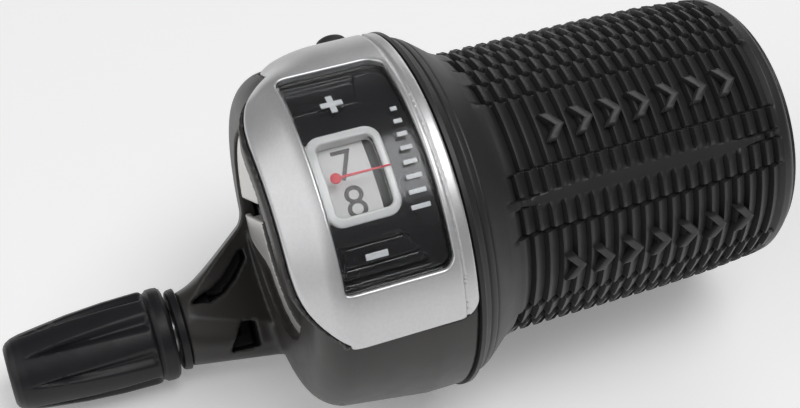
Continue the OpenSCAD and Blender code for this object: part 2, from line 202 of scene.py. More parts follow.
def surface(field, lo, hi, cell):
    """Vertices and quads of field = 0 by surface nets, moved onto the field afterwards."""
    lo = np.array(lo, float)
    n = np.ceil((np.array(hi, float) - lo) / cell).astype(int)
    blocks = np.ceil(n / BLOCK).astype(int)
    grid = np.stack(np.meshgrid(*[np.arange(b) for b in blocks], indexing="ij"), -1).reshape(-1, 3)
    middle = lo + (grid + 0.5) * BLOCK * cell
    reach = BLOCK * cell * 0.87 * 1.35  # half a block's diagonal, and a margin
    grid = grid[np.abs(field(*middle.T)) < reach]
    step = np.arange(BLOCK + 1)
    local = np.stack(np.meshgrid(step, step, step, indexing="ij"), -1)
    node = grid[:, None, None, None, :] * BLOCK + local
    value = np.empty(node.shape[:4])
    for i in range(0, len(grid), CHUNK):
        p = lo + node[i:i + CHUNK] * cell
        value[i:i + CHUNK] = field(p[..., 0], p[..., 1], p[..., 2])
    stride = np.array([1, KEY_SIDE, KEY_SIDE ** 2], np.int64)

    total = np.zeros(value[:, :-1, :-1, :-1].shape + (3,))
    hits = np.zeros(total.shape[:4], int)
    span = {0: slice(0, BLOCK), 1: slice(1, BLOCK + 1)}
    for axis in range(3):
        others = [a for a in range(3) if a != axis]
        for d0 in (0, 1):
            for d1 in (0, 1):
                first = [0, 0, 0]
                first[others[0]], first[others[1]] = d0, d1
                second = list(first)
                second[axis] = 1
                va = value[(slice(None), *[span[c] for c in first])]
                vb = value[(slice(None), *[span[c] for c in second])]
                hit = (va < 0) != (vb < 0)
                t = np.where(hit, va / np.where(va == vb, 1, va - vb), 0)
                for a in range(3):
                    total[..., a] += np.where(hit, first[a] + (t if a == axis else 0), 0)
                hits += hit
    index = np.nonzero(hits)
    base = node[:, :-1, :-1, :-1][index]
    vert = lo + (base + total[index] / hits[index][:, None]) * cell
    keys = base.astype(np.int64) @ stride
    order = np.argsort(keys)
    keys, vert = keys[order], vert[order]

    quads = []
    for axis in range(3):
        others = [a for a in range(3) if a != axis]
        far = [slice(0, BLOCK)] * 3
        far[axis] = slice(1, BLOCK + 1)
        va = value[:, :-1, :-1, :-1]
        vb = value[(slice(None), *far)]
        hit = np.nonzero((va < 0) != (vb < 0))
        at = node[:, :-1, :-1, :-1][hit].astype(np.int64)
        flip = va[hit] < 0
        around_edge = []
        for d0, d1 in ((0, 0), (-1, 0), (-1, -1), (0, -1)):
            c = at.copy()
            c[:, others[0]] += d0
            c[:, others[1]] += d1
            k = c @ stride
            place = np.clip(np.searchsorted(keys, k), 0, len(keys) - 1)
            around_edge.append(np.where(keys[place] == k, place, -1))
        q = np.stack(around_edge, 1)
        if axis == 1:
            flip = ~flip
        q[~flip] = q[~flip][:, ::-1]
        quads.append(q[(q >= 0).all(1)])
    quads = np.concatenate(quads)

    limit = 0.6 * cell  # how far a vertex may move
    h = 0.05 * cell  # step for the field's slope
    start = vert.copy()
    for _ in range(3):
        f = field(*vert.T)
        g = np.stack([
            field(vert[:, 0] + h, vert[:, 1], vert[:, 2]) - field(vert[:, 0] - h, vert[:, 1], vert[:, 2]),
            field(vert[:, 0], vert[:, 1] + h, vert[:, 2]) - field(vert[:, 0], vert[:, 1] - h, vert[:, 2]),
            field(vert[:, 0], vert[:, 1], vert[:, 2] + h) - field(vert[:, 0], vert[:, 1], vert[:, 2] - h),
        ], 1) / (2 * h)
        move = -(f / np.maximum((g * g).sum(1), 0.25))[:, None] * g
        shift = vert + move - start
        length = np.linalg.norm(shift, axis=1, keepdims=True)
        vert = start + shift * np.minimum(1, limit / np.maximum(length, 1e-9))
    return vert, quads


def mesh_object(name, verts, faces, sharp_angle=None):
    """An object at the origin from vertices in millimetres; faces is an array of quads or a list."""
    mesh = bpy.data.meshes.new(name)
    verts = np.asarray(verts, float) * MM
    if isinstance(faces, np.ndarray):
        mesh.vertices.add(len(verts))
        mesh.vertices.foreach_set("co", verts.astype(np.float32).ravel())
        mesh.loops.add(faces.size)
        mesh.loops.foreach_set("vertex_index", faces.astype(np.int32).ravel())
        mesh.polygons.add(len(faces))
        mesh.polygons.foreach_set("loop_start", np.arange(0, faces.size, faces.shape[1], dtype=np.int32))
        mesh.update(calc_edges=True)
    else:
        mesh.from_pydata([tuple(v) for v in verts], [], [tuple(int(i) for i in f) for f in faces])
    mesh.validate()
    mesh.polygons.foreach_set("use_smooth", [True] * len(mesh.polygons))
    if sharp_angle is not None:
        mesh.set_sharp_from_angle(angle=math.radians(sharp_angle))
    obj = bpy.data.objects.new(name, mesh)
    bpy.context.collection.objects.link(obj)
    return obj


def solid(name, field, lo, hi, cell):
    """An object whose surface is where the field is zero, inside a box."""
    return mesh_object(name, *surface(field, lo, hi, cell))


def closed_grid(rows, cols, flip=False):
    """Quads over a grid of vertices that closes on itself in both directions."""
    i, j = np.meshgrid(np.arange(rows), np.arange(cols), indexing="ij")
    i2, j2 = (i + 1) % rows, (j + 1) % cols
    corners = [i * cols + j, i2 * cols + j, i2 * cols + j2, i * cols + j2]
    if flip:
        corners[1], corners[3] = corners[3], corners[1]
    return np.stack(corners, -1).reshape(-1, 4)


def lathe(name, profile, centre=(0.0, 0.0), steps=160, sharp_angle=35):
    """Turns a closed profile of (radius, x) points about an axis parallel to the bar."""
    profile = np.array(profile, float)
    turn = np.linspace(0, 2 * np.pi, steps, endpoint=False)
    x = np.repeat(profile[None, :, 1], steps, 0)
    y = centre[0] + profile[None, :, 0] * np.cos(turn)[:, None]
    z = centre[1] + profile[None, :, 0] * np.sin(turn)[:, None]
    verts = np.stack([x, y, z], -1).reshape(-1, 3)
    return mesh_object(name, verts, closed_grid(steps, len(profile), flip=True), sharp_angle=sharp_angle)


def rounded(profile, radii, steps=5):
    """Rounds the corners of a closed profile; radii has one radius for each point."""
    out = []
    count = len(profile)
    for i, r in enumerate(radii):
        p = np.array(profile[i], float)
        a, b = np.array(profile[i - 1], float) - p, np.array(profile[(i + 1) % count], float) - p
        if r <= 0:
            out.append(tuple(p))
            continue
        la, lb = np.linalg.norm(a), np.linalg.norm(b)
        a, b = a / la, b / lb
        half = math.acos(np.clip(a @ b, -1, 1)) / 2
        reach = min(r / math.tan(half), 0.49 * la, 0.49 * lb)
        r = reach * math.tan(half)
        middle = p + (a + b) / np.linalg.norm(a + b) * (r / math.sin(half))
        start, end = p + a * reach - middle, p + b * reach - middle
        for t in np.linspace(0, 1, steps):
            w = start * (1 - t) + end * t
            out.append(tuple(middle + w / np.linalg.norm(w) * r))
    return out


def on_bar(x, angle, r):
    """Points on the bar's cylinder, from x, the angle in degrees and the radius."""
    a = np.radians(angle)
    y = r * (np.sin(a) * UP[0] + np.cos(a) * FACE[0])
    z = r * (np.sin(a) * UP[1] + np.cos(a) * FACE[1])
    return np.stack([x + 0 * y, y, z], -1)


def from_arm(up, out):
    """(y, z) of a point given in the arm's frame."""
    return (up * ARM_UP[0] + out * ARM_OUT[0], up * ARM_UP[1] + out * ARM_OUT[1])


def patch(name, outline, r_low, r_high, bevel):
    """A thin raised print on the bar's cylinder, from a flat outline of (x, arc length) points in
    millimetres measured at r_high. The outline is filled, raised and wrapped round the bar."""
    curve = bpy.data.curves.new(name, "CURVE")
    curve.dimensions = "2D"
    curve.fill_mode = "BOTH"
    loops = outline if isinstance(outline[0][0], (tuple, list)) else [outline]
    for loop in loops:
        spline = curve.splines.new("POLY")
        spline.points.add(len(loop) - 1)
        for point, (u, v) in zip(spline.points, loop):
            point.co = (u, v, 0, 1)
        spline.use_cyclic_u = True
    half = (r_high - r_low) / 2
    curve.extrude = half - bevel
    curve.bevel_depth = bevel
    curve.bevel_resolution = 1
    curve.offset = -bevel
    return wrap(name, curve, r_low + half, r_high)


STRIP = 0.4  # width of the strips that a flat shape is cut into before it is bent


def wrap(name, curve, r_middle, r_arc, centre_angle=0.0):
    """Converts a flat curve or text to a mesh and bends it round the bar."""
    flat = bpy.data.objects.new(name + "_flat", curve)
    bpy.context.collection.objects.link(flat)
    dg = bpy.context.evaluated_depsgraph_get()
    mesh = bpy.data.meshes.new_from_object(flat.evaluated_get(dg))
    bpy.data.objects.remove(flat)
    bm = bmesh.new()
    bm.from_mesh(mesh)
    bmesh.ops.remove_doubles(bm, verts=bm.verts, dist=1e-5)
    ys = [v.co.y for v in bm.verts]
    for y in np.arange(min(ys) + STRIP / 2, max(ys), STRIP):
        bmesh.ops.bisect_plane(bm, geom=bm.verts[:] + bm.edges[:] + bm.faces[:], plane_co=(0, y, 0),
                               plane_no=(0, 1, 0))
    bm.verts.index_update()
    co = np.array([v.co for v in bm.verts], float).reshape(-1, 3)
    faces = [[v.index for v in f.verts] for f in bm.faces]
    bm.free()
    bpy.data.meshes.remove(mesh)
    angle = centre_angle + np.degrees(co[:, 1] / r_arc)
    return mesh_object(name, on_bar(co[:, 0], angle, r_middle + co[:, 2]), faces, sharp_angle=40)


# ---------------------------------------------------------------- materials

ROUGHNESS_SCALE = 400
GRAIN = (2600, 0.03, (1, 1, 1))  # scale, height in millimetres and stretch


def material(name, color, roughness, metallic=0.0, **more):
    """A Principled material whose colour and finish vary a little; constants sit on the shader."""
    mat = bpy.data.materials.new(name)
    mat.use_nodes = True
    tree = mat.node_tree
    tree.nodes.clear()
    out = tree.nodes.new("ShaderNodeOutputMaterial")
    bsdf = tree.nodes.new("ShaderNodeBsdfPrincipled")
    tree.links.new(bsdf.outputs[0], out.inputs[0])
    bsdf.inputs["Metallic"].default_value = metallic
    for key, value in more.get("sockets", {}).items():
        bsdf.inputs[key].default_value = value

    coords = tree.nodes.new("ShaderNodeTexCoord")

    def noise(scale, detail=3.0, stretch=(1, 1, 1)):
        mapping = tree.nodes.new("ShaderNodeMapping")
        mapping.inputs["Scale"].default_value = stretch
        node = tree.nodes.new("ShaderNodeTexNoise")
        node.inputs["Scale"].default_value = scale
        node.inputs["Detail"].default_value = detail
        tree.links.new(coords.outputs["Object"], mapping.inputs[0])
        tree.links.new(mapping.outputs[0], node.inputs["Vector"])
        return node.outputs["Fac"]

    def ramp(source, low, high):
        node = tree.nodes.new("ShaderNodeValToRGB")
        node.color_ramp.elements[0].position = 0.3
        node.color_ramp.elements[1].position = 0.7
        node.color_ramp.elements[0].color = (*low, 1)
        node.color_ramp.elements[1].color = (*high, 1)
        tree.links.new(source, node.inputs[0])
        return node.outputs[0]

    vary = more.get("vary", 0.1)
    low = tuple(c * (1 - vary) for c in color)
    high = tuple(min(1, c * (1 + vary)) for c in color)
    tree.links.new(ramp(noise(more.get("vary_scale", 120)), low, high), bsdf.inputs["Base Color"])
    spread = more.get("spread", 0.06)
    finish = tree.nodes.new("ShaderNodeMapRange")
    finish.inputs["To Min"].default_value = roughness - spread
    finish.inputs["To Max"].default_value = roughness + spread
    tree.links.new(noise(ROUGHNESS_SCALE), finish.inputs["Value"])
    tree.links.new(finish.outputs[0], bsdf.inputs["Roughness"])
    grain = more.get("grain")
    if grain:
        scale, height, stretch = grain
        bump = tree.nodes.new("ShaderNodeBump")
        bump.inputs["Strength"].default_value = more.get("grain_strength", 0.35)
        bump.inputs["Distance"].default_value = height * MM
        tree.links.new(noise(scale, 4.0, stretch), bump.inputs["Height"])
        tree.links.new(bump.outputs[0], bsdf.inputs["Normal"])
    return mat


MATERIALS = {
    "body_plastic": material("body_plastic", (0.030, 0.0275, 0.026), 0.40, vary=0.12, grain=GRAIN,
                             grain_strength=0.3),
    "cover_silver": material("cover_silver", (0.64, 0.64, 0.65), 0.36, metallic=0.68, vary=0.03,
                             vary_scale=2500, grain=(4200, 0.01, (1, 1, 1)), grain_strength=0.2,
                             sockets={"Coat Weight": 0.25, "Coat Roughness": 0.25}),
    "display_black": material("display_black", (0.012, 0.012, 0.014), 0.16, vary=0.2),
    "frame_white": material("frame_white", (0.80, 0.80, 0.79), 0.25, vary=0.02,
                            sockets={"Coat Weight": 0.4, "Coat Roughness": 0.1}),
    "mark_grey": material("mark_grey", (0.80, 0.81, 0.82), 0.4, vary=0.03),
    "pointer_red": material("pointer_red", (0.72, 0.01, 0.03), 0.35, vary=0.05),
    "band_metal": material("band_metal", (0.74, 0.72, 0.70), 0.36, metallic=0.5, vary=0.05,
                           grain=(900, 0.012, (0.15, 1, 1))),
    "dark_steel": material("dark_steel", (0.10, 0.10, 0.105), 0.35, metallic=0.9, vary=0.1),
    "zinc_steel": material("zinc_steel", (0.52, 0.52, 0.53), 0.3, metallic=1.0, vary=0.05,
                           grain=(1200, 0.01, (1, 1, 1))),
    # painted light: a lighter grey for inside the bore, brighter than the sleeve's dark plastic and in place
    # of the band's metal
    "bore_painted_light": material("bore_painted_light", (0.10, 0.097, 0.094), 0.6, grain=GRAIN),
    "plug_rubber": material("plug_rubber", (0.022, 0.022, 0.022), 0.6, grain=GRAIN),
    # inner_plastic serves as painted shade in the arm's recesses and on the drum's outboard edge
    "inner_plastic": material("inner_plastic", (0.015, 0.015, 0.015), 0.5, grain=GRAIN),
    "nylon": material("nylon", (0.68, 0.65, 0.57), 0.45, vary=0.04, grain=GRAIN),
    "spring_steel": material("spring_steel", (0.45, 0.45, 0.47), 0.25, metallic=1.0, vary=0.05),
    "ring_plastic": material("ring_plastic", (0.02, 0.02, 0.021), 0.42, grain=GRAIN),
    "grip_rubber": material("grip_rubber", (0.0145, 0.0135, 0.015), 0.46, vary=0.15,
                            grain=(1800, 0.03, (1, 1, 1)), grain_strength=0.35,
                            sockets={"Sheen Weight": 0.08, "Sheen Roughness": 0.5}),
    "drum_white": material("drum_white", (0.74, 0.73, 0.72), 0.45, vary=0.02, grain=GRAIN),
    "digit_grey": material("digit_grey", (0.10, 0.09, 0.085), 0.5, vary=0.05),
    "knob_plastic": material("knob_plastic", (0.010, 0.0095, 0.012), 0.42, vary=0.12, grain=GRAIN,
                             sockets={"Specular IOR Level": 0.36}),
    # clear, with faint sharp reflections and a soft sheen
    "lens_clear": material("lens_clear", (0.96, 0.97, 0.98), 0.03, vary=0.005, spread=0.01,
                           sockets={"Transmission Weight": 1.0, "IOR": 1.14,
                                    "Coat Weight": 0.2, "Coat Roughness": 0.36}),
}


def dress(obj, slot, body, *nodes, look=None):
    """Gives a piece the material of its slot and its body, and hides the CAD nodes it stands for."""
    obj.data.materials.clear()
    obj.data.materials.append(MATERIALS[look or slot])
    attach(obj, body)
    if nodes:
        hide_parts(*nodes)
    return obj


def inner_faces(obj, radius):
    """Gives the faces nearer to the bar's axis than the radius a lighter grey: painted light inside the bore.
    """
    obj.data.materials.append(MATERIALS["bore_painted_light"])
    for p in obj.data.polygons:
        if math.hypot(p.center.y, p.center.z) < radius * MM:
            p.material_index = 1


# ---------------------------------------------------------------- housing

def cover_outer(x, r, angle):
    """Distance to the cover's outer profile: a cylinder that slopes in beyond the crease. Towards the
    top the crease moves outboard and the cylinder falls away towards it."""
    top = smooth((angle - DISPLAY_TO + 0.7) / 20)
    cone = (r - COVER_R - FLANK_SLOPE * (x - CREASE - TOP_CREASE * top)) / math.hypot(1, FLANK_SLOPE)
    fall = 0.0275 * top * np.maximum(9.7 - x, 0) ** 2
    return both(r - COVER_R + fall, cone, 1.2 - 0.8 * top)


def flank_edge(x, angle):
    """Distance to the flank's inboard edge: straight along the display, rounded towards both ends."""
    edge = -3.45 + 6.0 * np.minimum(np.abs(angle / 50.8), 1.2) ** 6
    return 0.75 * (np.minimum(edge, np.where(angle > 0, 2.2, 1.5)) - x)


def cover_plan(x, up, face):
    """Distance to the cover's outline seen from outside, with its outboard corners rounded."""
    return both(x - PARTING, wedge(up, face, COVER_FROM, COVER_TO), 2.6)


def arm_field(x, up, out, r):
    """The cable arm: a webbed loft from the round collar to the housing's inboard face."""
    s = np.clip((x - ARM_END) / (HOUSING_IN - ARM_END), 0, 1)
    # the top edge starts level at the collar and bends up softly; the lower edge runs straight
    top = -3.1 + 0.76 * 1.5 * np.log1p(np.exp(np.clip((x + 11.4) / 1.5, -30, 30)))
    low = -13.0 - 1.7 * s
    centre, half = (top + low) / 2, (top - low) / 2
    corner = 5.2 - 2.2 * np.sqrt(s)
    side = round_rect(up - centre, out - BARREL_OUT, half, 5.25, corner)
    side = both(side, r - 23.3, 2.0)
    return both(side * 0.85, slab(x, ARM_END, 3.0), 0.4)


CRESCENT = [(-11.3, -4.6), (-9.9, -4.0), (-8.1, -3.5), (-6.2, -2.4), (-3.9, -0.2), (-3.3, 0.43), (-2.7, 0.6),
            (-2.6, -0.5), (-4.65, -2.8), (-6.7, -4.3), (-9.0, -5.0)]
TRAPEZOID = [(-5.6, -8.9), (-4.0, -9.2), (-4.0, -12.5), (-7.8, -12.3)]


def pocket_field(x, arm_up, arm_out):
    """The two recesses in the arm's rider side."""
    plan = np.minimum(polygon(x, arm_up, CRESCENT), polygon(x, arm_up, TRAPEZOID)) - 0.15
    return np.maximum(plan, slab(arm_out, -18.5, -10.0))


def housing_body(x, r, arm_up, arm_out):
    """The solid body with its tapered inboard end and the arm."""
    slope = (HOUSING_R - HOUSING_EDGE_R) / (TAPER_END - HOUSING_IN - EDGE_ROUND)
    cone = (r - HOUSING_EDGE_R - slope * (x - HOUSING_IN - EDGE_ROUND)) / math.hypot(1, slope)
    body = both(both(np.maximum(r - HOUSING_R, cone), HOUSING_IN - x, EDGE_ROUND), x - PARTING + 0.05, 0.25)
    return join(body, arm_field(x, arm_up, arm_out, r), 1.6)


def under_cover(x, r, seat):
    """The part at full size under the cover."""
    under = both(r - HOUSING_R, HOUSING_IN - x, 2.6)
    return np.maximum(np.maximum(under, seat + 0.1), 17 - r)


def flank_rim(x, r, angle, up, face, edge):
    """The thin rim around the flank's inboard edge."""
    outer = cover_outer(x, r, angle)
    rim = both(both(outer + 0.15, edge - RIM, 0.3), -(outer + 2.2))
    return np.maximum(rim, np.maximum(wedge(up, face, COVER_FROM, COVER_TO) - 0.3, x - 3))


def mouth_field(x, r, angle):
    """The bar's way in: wide beside the arm, and narrower through the housing's face on the arm's side."""
    turn = angle % 360
    narrow = smooth((turn - 150) / 32) * (1 - smooth((turn - 300) / 20))
    mouth = np.maximum(r - MOUTH_R + 3.6 * narrow, HOUSING_IN - 0.02 - x)
    mouth = np.minimum(mouth, np.maximum(r - MOUTH_R, -0.15 - x))
    return np.minimum(mouth, np.maximum(r - MOUTH_R - 0.18 * (x - HOUSING_IN), x - HOUSING_IN))


def band_seat(x, r, angle):
    """The cup round the clamp band, with a gap for the band's ears, and the web that carries the sleeve."""
    cup = np.maximum(slab(r, 14.4, 15.9), slab(x, -0.1, 9.0))
    ears = np.maximum(np.abs(angle - CLAMP_ANGLE) - 38, x - 8.2)
    web = np.maximum(slab(r, BORE_R, 15.9), slab(x, 8.2, 9.0))
    return np.minimum(np.maximum(cup, -ears), web)


def cut_bores(body, x, up, face, arm_up, arm_out):
    """The body without its round holes."""
    # for the adjuster's insert, its screw, and the cable
    barrel = np.hypot(arm_up - BARREL_UP, arm_out - BARREL_OUT)
    body = cut(body, np.maximum(barrel - 4.22, x + 9.0), 0.1)
    body = cut(body, np.maximum(barrel - 3.3, slab(x, -10.0, -5.5)))
    body = cut(body, np.maximum(barrel - 1.3, slab(x, -9.5, 6.0)))
    # for the key to the clamp screw, and for the cable's port
    along, off = turned(up, face, CLAMP_ANGLE)
    key = np.maximum(np.hypot(x - SCREW_X, off - SCREW_OUT) - 2.2, 8.0 - along)
    body = cut(body, key, 0.4)
    along, off = turned(up, face, PORT_ANGLE)
    port = np.hypot(x - PORT_X, along) - 1.7
    return cut(body, np.maximum(port, 15 - off), 0.3)


def housing_field(x, y, z):
    """The housing: its outside first, then the hollow, the mouth, the display's opening and the holes."""
    r, angle, up, face = around(y, z)
    arm_up, arm_out = arm_axes(y, z)
    edge = flank_edge(x, angle)
    seat = both(cover_plan(x, up, face), edge)
    body = housing_body(x, r, arm_up, arm_out)
    body = np.minimum(body, under_cover(x, r, seat))
    body = np.minimum(body, flank_rim(x, r, angle, up, face, edge))
    hollow = np.maximum((r - along_profile(x, CAVITY)) * 0.75, HOUSING_IN + 1.8 - x)
    body = cut(body, hollow)
    body = cut(body, mouth_field(x, r, angle), 0.12)
    room = np.maximum(-(cover_outer(x, r, angle) + COVER_WALL), seat - 0.1)
    body = cut(body, room, 0.15)
    arc = np.radians(angle - DISPLAY_MIDDLE) * 22
    opening = round_rect(x - DISPLAY_X, arc, DISPLAY_HALF_X, 13.7, 1.0)
    body = cut(body, np.maximum(opening, 18 - r), 0.1)
    body = np.minimum(body, band_seat(x, r, angle))
    body = cut(body, pocket_field(x, arm_up, arm_out), 0.15)
    return cut_bores(body, x, up, face, arm_up, arm_out)


def make_housing():
    """The housing's shell, with painted shade in the recesses of its arm, and the sleeve that the grip turns
    on.
    """
    shell = solid("housing_shell", housing_field, (-15.0, -24.6, -24.6), (18.4, 24.6, 24.6), 0.36)
    dress(shell, "body_plastic", "housing", "main_body")
    # painted shade: the faces of the arm's two recesses take the darker inner_plastic
    shell.data.materials.append(MATERIALS["inner_plastic"])
    centres = np.empty(3 * len(shell.data.polygons))
    shell.data.polygons.foreach_get("center", centres)
    cx, cy, cz = (centres / MM).reshape(-1, 3).T
    in_pocket = pocket_field(cx, *arm_axes(cy, cz)) < 0.12
    shell.data.polygons.foreach_set("material_index", in_pocket.astype(np.int32))
    sleeve = rounded([(BORE_R, 8.9), (BORE_R, SLEEVE_END), (SLEEVE_R, SLEEVE_END),
                      (SLEEVE_R, GRIP_END + 1.05),
                      (12.5, GRIP_END + 1.05), (12.5, GRIP_END + 0.25), (SLEEVE_R, GRIP_END + 0.25),
                      (SLEEVE_R, 8.9)], [0, 0.3, 0.3, 0, 0, 0, 0, 0])
    # painted light: the sleeve's inner faces get the lighter bore grey
    inner_faces(dress(lathe("housing_sleeve", sleeve), "body_plastic", "housing", "main_body"), BORE_R + 0.2)


def display_outline(x, angle, gap=0.0):
    """Distance to the display's outline at the cover's radius, whose four corners differ."""
    s = np.radians(angle - DISPLAY_MIDDLE) * COVER_R
    corner = np.where(x > DISPLAY_X, np.where(s > 0, 2.3, 1.6), np.where(s > 0, 1.1, 0.5))
    return round_rect(x - DISPLAY_X, s, DISPLAY_HALF_X - gap,
                      math.radians(DISPLAY_TO - DISPLAY_MIDDLE) * COVER_R - gap, corner)


def cover_field(x, y, z):
    """The cover: a shell with a fine groove along its outboard edge and an opening for the display."""
    r, angle, up, face = around(y, z)
    outer = cover_outer(x, r, angle)
    groove = np.maximum(np.abs(x - PARTING + 1.6) - 0.17, -0.22 - outer)
    outer = cut(outer, groove, 0.06)
    shell = np.maximum(outer, -(cover_outer(x, r, angle) + COVER_WALL))
    shell = both(shell, cover_plan(x, up, face) + 0.02, 0.3)
    shell = both(shell, flank_edge(x, angle), 0.25)
    return cut(shell, np.maximum(display_outline(x, angle), 15 - r), 0.3)


def make_cover():
    """The silver cover."""
    cover = solid("silver_cover", cover_field, (-4.8, -25.0, -6.0), (18.2, 22.5, 25.0), 0.2)
    dress(cover, "cover_silver", "housing", "top_cover")


# ---------------------------------------------------------------- display

def lens_field(x, y, z):
    """The curved lens, which fills the display's opening."""
    r, angle = around(y, z)[:2]
    shape = display_outline(x, angle, 0.06)
    return both(both(shape, r - 23.88, 0.18), 23.2 - r, 0.05)


def plate_field(x, y, z):
    """The plate behind the lens, open at the number window."""
    r, angle = around(y, z)[:2]
    shape = display_outline(x, angle, 0.04)
    plate = np.maximum(np.maximum(shape, r - 22.5), 21.85 - r)
    arc = np.radians(angle) * 22.5
    window = round_rect(x - WINDOW_X, arc, *WINDOW_SIZE)
    plate = cut(plate, window)
    # deeper fields behind the plus and the minus
    top = polygon(x, arc, [(2.4, 9.6), (9.8, 9.6), (11.0, 14.2), (2.4, 14.2)])
    low = polygon(x, arc, [(3.4, -7.6), (9.6, -7.6), (12.6, -12.0), (2.4, -12.0)])
    return cut(plate, np.maximum(np.minimum(top, low) - 0.2, 22.1 - r), 0.08)


def frame_field(x, y, z):
    """The rounded frame round the number window, and the collar inside it that reaches towards the drum."""
    r, angle = around(y, z)[:2]
    arc = np.radians(angle) * 22.9
    outer = round_rect(x - WINDOW_X, arc, 4.55, 5.75, 1.9)
    inner = round_rect(x - WINDOW_X - 0.1, arc, *WINDOW_SIZE)
    ring = both(outer, r - 22.95, 0.3)
    ring = cut(ring, inner, 0.22)
    collar = np.maximum(cut(inner - 0.42, inner, 0.05), slab(r, 21.45, 22.7))
    return np.minimum(np.maximum(ring, 22.45 - r), collar)


def bar_mark(x0, x1, s0, s1):
    """A rectangle's outline for a printed mark."""
    return [(x0, s0), (x1, s0), (x1, s1), (x0, s1)]


def plus_mark(x, s, arm, half):
    """A plus sign's outline, from its middle, the length of its arms and half their width."""
    corners = [(-arm, -half), (-half, -half), (-half, -arm), (half, -arm), (half, -half), (arm, -half),
               (arm, half), (half, half), (half, arm), (-half, arm), (-half, half), (-arm, half)]
    return [(x + u, s + v) for u, v in corners]


def make_display():
    """Lens, plate, window frame, the printed marks and the pointer."""
    lo, hi = (1.0, -24.5, 4.0), (15.8, 17.0, 24.5)
    dress(solid("clear_lens", lens_field, lo, hi, 0.2), "lens_clear", "housing", "lens")
    dress(solid("black_plate", plate_field, lo, hi, 0.24), "display_black", "housing", "display_plate")
    dress(solid("number_frame", frame_field, (1.4, -18.0, 14.0), (11.4, -4.0, 23.5), 0.11),
          "frame_white", "housing", "window_frame")

    # printed marks on the underside of the lens, between two radii
    low, high = 23.02, 23.19
    arm, half = 1.35, 0.38
    plus = plus_mark(6.9, math.radians(24.1) * high, arm, half)
    minus_x, minus_s = 6.35, math.radians(-24.0) * high
    minus = bar_mark(minus_x - arm, minus_x + arm, minus_s - half, minus_s + half)
    ticks = []
    for k in range(GEARS):
        s = math.radians(TICK_ANGLE - TICK_STEP * k) * high
        length = TICK_SHORTEST + TICK_GROWTH * k
        ticks.append(bar_mark(TICK_OUT - length, TICK_OUT, s - TICK_HALF, s + TICK_HALF))
    marks = patch("display_marks", [plus, minus, *ticks], low, high, bevel=0.03)
    dress(marks, "frame_white", "housing", look="mark_grey")

    dot = [(4.1 + 0.65 * math.cos(a), 0.65 * math.sin(a)) for a in np.linspace(0.24, 2 * math.pi - 0.24, 28)]
    pointer = patch("red_pointer", dot + [(10.8, -0.09), (10.8, 0.09)], 22.97, 23.19, bevel=0.03)
    dress(pointer, "pointer_red", "housing", "pointer")


def make_drum():
    """The number drum: part of a ring whose outboard edge is painted dark as the shade in the gap by the
    window's wall, and a printed digit for each gear.
    """
    inner, web = DRUM_R - 1.0, DRUM_OUT - 1.0
    profile = rounded([(inner, DRUM_IN), (DRUM_R, DRUM_IN), (DRUM_R, PAINTED_SHADE_FROM), (DRUM_R, DRUM_OUT),
                       (15.0, DRUM_OUT), (15.0, web), (inner, web)], [0.1, 0.2, 0, 0.2, 0, 0, 0.3])
    m = len(profile)
    radii, along = np.array(profile).T
    angles = np.linspace(DRUM_FROM, DRUM_TO, DRUM_TO - DRUM_FROM + 1)
    verts = np.concatenate([on_bar(along, a, radii) for a in angles])
    faces = []
    for i in range(len(angles) - 1):
        for j in range(m):
            k = (j + 1) % m
            faces.append([i * m + j, (i + 1) * m + j, (i + 1) * m + k, i * m + k])
    faces.append(list(range(m)))
    faces.append([(len(angles) - 1) * m + j for j in reversed(range(m))])
    drum = mesh_object("number_drum_body", verts, faces, sharp_angle=35)
    dress(drum, "drum_white", "grip", "number_drum")
    # painted shade: the drum's outboard faces take the dark inner_plastic
    drum.data.materials.append(MATERIALS["inner_plastic"])
    for p in drum.data.polygons:
        if p.center.x > (PAINTED_SHADE_FROM + 0.05) * MM:
            p.material_index = 1
    for gear in range(1, GEARS + 1):
        text = bpy.data.curves.new(f"digit_{gear}", "FONT")
        text.body = str(gear)
        text.size = DIGIT_SIZE
        text.align_x, text.align_y = "CENTER", "CENTER"
        text.extrude = 0.02
        text.offset = -0.01
        centre = DIGIT_ANGLE + (REST_GEAR - gear) * CLICK
        digit = wrap(f"digit_{gear}", text, DRUM_R + 0.02, DRUM_R, centre)
        digit.data.transform(Matrix.Translation((DIGIT_X * MM, 0, 0)))
        dress(digit, "drum_white", "grip", look="digit_grey")


# ---------------------------------------------------------------- clamp and small parts

def band_field(x, y, z):
    """The clamp band: a ring with a dished face, two ears, the slit between them and the screw's hole."""
    r, _, up, face = around(y, z)
    cone = (x + 1.1 - (15.0 - r) * (1.1 / 3.2)) * -0.945
    flange = np.maximum(both(r - 15.5, -1.1 - x, 0.15), x + 0.2)
    band = np.maximum(both(r - 14.0, x - 8.0, 0.2), -1.1 - x)
    ring = np.minimum(flange, band)
    ring = cut(ring, -cone, 0.12)
    ring = cut(ring, r - BORE_R, 0.2)
    along, off = turned(up, face, CLAMP_ANGLE)
    ears = both(both(np.abs(x - SCREW_X) - 3.2, np.abs(along) - 4.9, 0.3), slab(off, 12.4, 19.4), 1.0)
    ears = np.maximum(ears, BORE_R + 1.0 - r)
    band = np.minimum(ring, ears)
    slit = np.maximum(np.abs(along) - 1.3, 5 - off)
    band = cut(band, slit, 0.15)
    return cut(band, np.hypot(x - SCREW_X, off - SCREW_OUT) - 2.05, 0.15)


